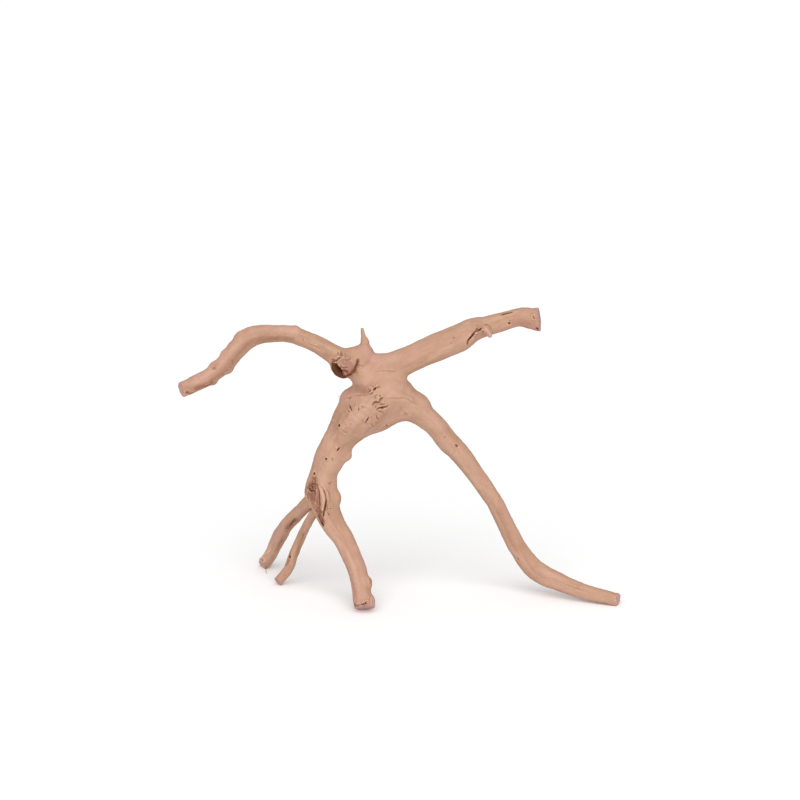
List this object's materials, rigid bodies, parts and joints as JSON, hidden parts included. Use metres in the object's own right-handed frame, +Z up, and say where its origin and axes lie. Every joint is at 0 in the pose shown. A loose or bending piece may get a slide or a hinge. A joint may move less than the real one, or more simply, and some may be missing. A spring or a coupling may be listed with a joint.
{
  "type": "bogwood root",
  "caption": "Branching sand-blasted bogwood root with sawn ends that stands on two legs and a twig, for an aquarium or terrarium.",
  "frame": {"origin": "Under the middle of the root's box, on the surface that it stands on.", "axes": "+X runs along the two arms to the flared sawn end, +Y to the back, +Z up. The knot with its hollow faces -Y."},
  "size_m": [0.3534, 0.1296, 0.2402],
  "materials": {
    "wood": "bare sand-blasted root wood, matt, pinkish tan, darker in its cracks, hollow and scar, lilac-pink on the sawn ends"
  },
  "bodies": {
    "root": {"bogwood_root": "wood"}
  },
  "joints": []
}
